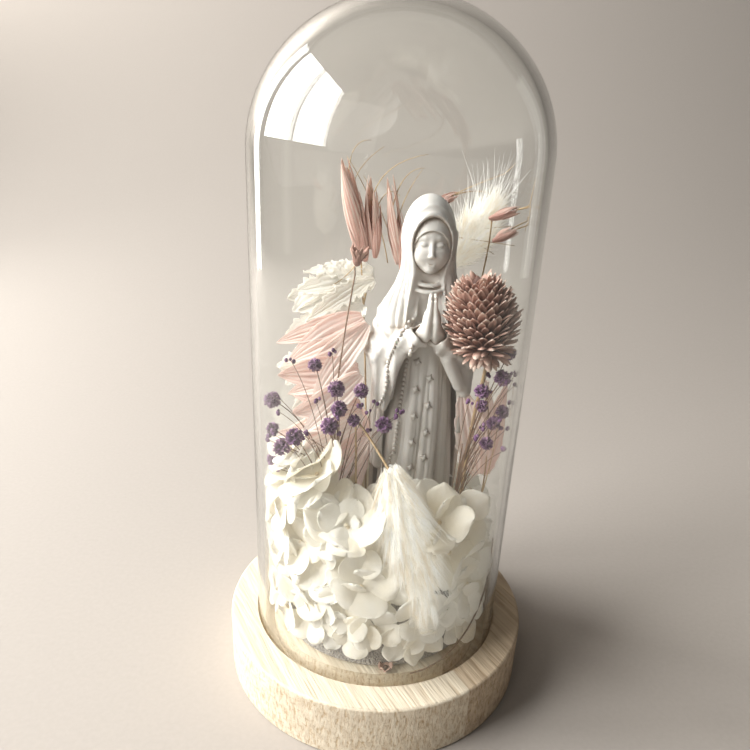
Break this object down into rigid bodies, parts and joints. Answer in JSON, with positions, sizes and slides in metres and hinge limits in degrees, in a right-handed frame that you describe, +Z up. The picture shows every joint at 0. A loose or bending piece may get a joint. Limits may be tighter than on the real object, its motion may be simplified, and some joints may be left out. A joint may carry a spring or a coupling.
{
  "type": "bell jar dome",
  "caption": "Glass bell jar dome that lifts off a round grooved wooden base, over a praying robed figurine in a bed of dried and preserved flowers.",
  "frame": {"origin": "centre of the wooden base's underside", "axes": "+Z up along the dome's axis, -Y towards the front, which the figurine faces"},
  "size_m": [0.12, 0.12, 0.242],
  "materials": {
    "pale_wood": "matte",
    "clear_glass": "gloss",
    "hot_glue": "satin",
    "dry_foam": "matte",
    "white_resin": "matte",
    "cream_petals": "matte",
    "cream_grass": "matte",
    "straw_stem": "matte",
    "brown_twig": "matte",
    "dusty_pink": "matte",
    "purple_bloom": "matte",
    "pink_oat": "matte",
    "bleached_leaf": "matte"
  },
  "bodies": {
    "base": {"base_board_left": "pale_wood", "base_board_right": "pale_wood", "glue_pad": "hot_glue", "floral_foam": "dry_foam", "figurine": "white_resin", "hydrangea_front": "cream_petals", "hydrangea_left": "cream_petals", "hydrangea_back": "cream_petals", "hydrangea_right": "cream_petals", "bunny_tail_front": "cream_grass", "bunny_tail_back": "cream_grass", "bunny_tail_front_stem": "straw_stem", "bunny_tail_back_stem": "straw_stem", "globe_amaranth": "dusty_pink", "globe_amaranth_stem": "straw_stem", "dried_bud": "dusty_pink", "dried_bud_stem": "brown_twig", "purple_sprig_left": "brown_twig", "purple_sprig_right": "brown_twig", "purple_blossoms_left": "purple_bloom", "purple_blossoms_right": "purple_bloom", "oat_spikelets_left": "pink_oat", "oat_spikelets_right": "pink_oat", "oat_stem_left": "straw_stem", "oat_stem_right": "straw_stem", "bleached_leaf_upper": "bleached_leaf", "bleached_leaf_lower": "bleached_leaf", "bleached_leaf_side": "bleached_leaf", "bleached_leaf_stem": "straw_stem", "pink_leaf_upper": "dusty_pink", "pink_leaf_middle": "dusty_pink", "pink_leaf_lower": "dusty_pink", "pink_leaf_right": "dusty_pink", "dry_tendril": "brown_twig", "loose_seed_petal": "dusty_pink"},
    "dome": {"glass_dome": "clear_glass"}
  },
  "joints": [
    {"name": "dome_lift", "type": "slide", "parent": "base", "child": "dome", "axis": [0, 0, 1], "range_m": [0, 0.23]}
  ]
}
